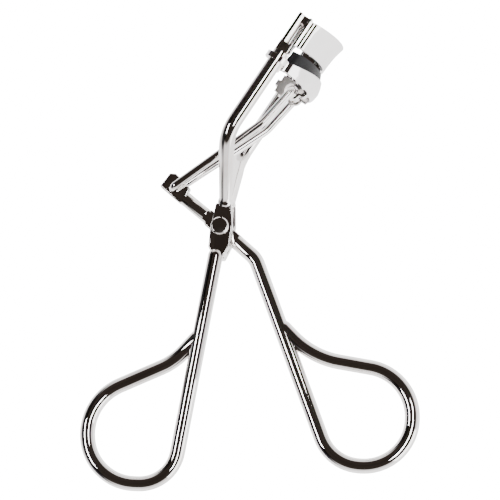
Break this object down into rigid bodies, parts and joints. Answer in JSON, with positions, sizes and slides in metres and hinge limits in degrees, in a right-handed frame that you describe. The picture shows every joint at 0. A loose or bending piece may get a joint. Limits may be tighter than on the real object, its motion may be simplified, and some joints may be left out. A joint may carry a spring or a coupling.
{
  "type": "eyelash curler",
  "caption": "Scissor-handled eyelash curler of bent chromed wire: a ring lever drives a forked link that slides a padded lower jaw against a curved upper jaw.",
  "frame": {"origin": "centre of the upper rivet head's flat face, on the pivot axis", "axes": "+Z along the rivet's axis, up when the tool lies on its side; +Y along the tool towards the jaws; +X towards the moving lever's ring"},
  "size_m": [0.0711, 0.0988, 0.035],
  "materials": {
    "chrome_wire": "polished plated wire",
    "chrome_sheet": "polished plated sheet",
    "chrome_rivet": "polished plated rivet",
    "black_rubber": "smooth satin rubber"
  },
  "bodies": {
    "frame": {"frame_handle": "chrome_wire", "far_arm": "chrome_wire", "pivot_rivet": "chrome_rivet", "upper_jaw": "chrome_sheet", "side_channel_near": "chrome_sheet", "side_channel_far": "chrome_sheet"},
    "lever": {"lever_handle": "chrome_wire"},
    "link": {"link_fork": "chrome_wire"},
    "sliding_jaw": {"lower_jaw": "chrome_sheet", "lash_pad": "black_rubber", "jaw_guide_near": "chrome_sheet", "jaw_guide_far": "chrome_sheet", "link_lug_near": "chrome_sheet", "link_lug_far": "chrome_sheet"}
  },
  "joints": [
    {"name": "lever_pivot", "type": "hinge", "parent": "frame", "child": "lever", "pos_m": [0, 0, -0.0038], "axis": [0, 0, 1], "range_deg": [-4, 24]},
    {"name": "jaw_slide", "type": "slide", "parent": "frame", "child": "sliding_jaw", "axis": [0.5446, 0.8387, 0], "range_m": [-0.00536, 0.00089]},
    {"name": "link_pivot", "type": "hinge", "parent": "lever", "child": "link", "pos_m": [-0.0101, 0.0084, -0.0038], "axis": [0, 0, 1], "range_deg": [-23.43, 3.91]}
  ],
  "couplings": [
    {"joint": "jaw_slide", "follows": "lever_pivot", "m_per_rad": -0.012789},
    {"joint": "link_pivot", "follows": "lever_pivot", "ratio": -0.97638}
  ]
}
